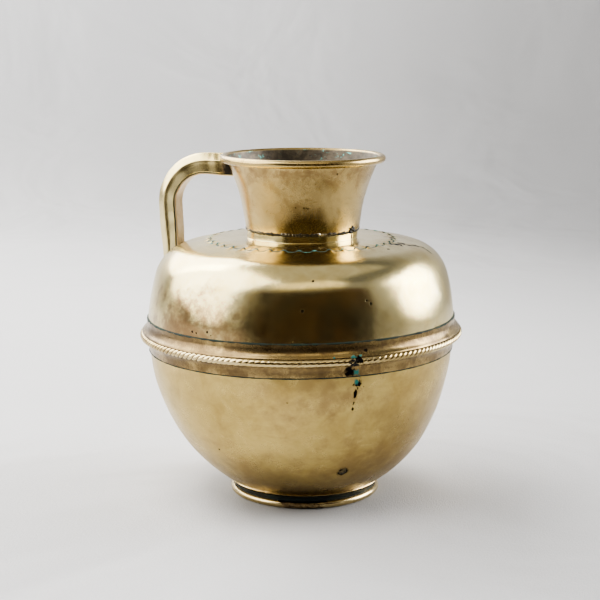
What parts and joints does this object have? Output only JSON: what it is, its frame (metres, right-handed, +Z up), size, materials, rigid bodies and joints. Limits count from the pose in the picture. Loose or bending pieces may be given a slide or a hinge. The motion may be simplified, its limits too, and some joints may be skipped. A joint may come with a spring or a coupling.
{
  "type": "lota water pot",
  "caption": "Round-bellied brass water pot with a flared neck, roped belly band, foot ring and a square-set side handle.",
  "frame": {"origin": "on the pot's axis at the floor, in the plane of the foot's underside", "axes": "+Z up along the pot's axis, handle toward -X, +Y to the left of a person facing +X"},
  "size_m": [0.2645, 0.2646, 0.28],
  "materials": {
    "bowl_brass": "satin, evenly mellowed",
    "shoulder_brass": "polished, pale, brown mottling low down",
    "neck_brass": "satin outside, dark and spotted inside",
    "band_brass": "satin with brown patina in the hollows",
    "rope_brass": "worn bright",
    "foot_brass": "dark, sooty patina",
    "handle_brass": "polished",
    "strip_brass": "hammered, reddish, dull",
    "verdigris_braze": "green copper salts over braze",
    "dark_braze": "matt, dark brown",
    "solder": "rough, blackened"
  },
  "bodies": {
    "root": {"lower_bowl": "bowl_brass", "shoulder_shell": "shoulder_brass", "neck_flange": "shoulder_brass", "cramp_seam_braze": "verdigris_braze", "neck": "neck_brass", "rim_wire": "neck_brass", "neck_seam_braze": "dark_braze", "belly_band": "band_brass", "rope_bead": "rope_brass", "band_upper_braze": "verdigris_braze", "band_lower_braze": "verdigris_braze", "foot_hoop": "foot_brass", "foot_bead": "rope_brass", "foot_braze": "dark_braze", "handle_channel": "handle_brass", "handle_strip": "strip_brass", "handle_seam_braze": "verdigris_braze", "handle_neck_braze": "dark_braze", "handle_foot_braze": "dark_braze", "bowl_patch": "solder", "neck_solder": "solder", "band_lump": "solder"}
  },
  "joints": []
}
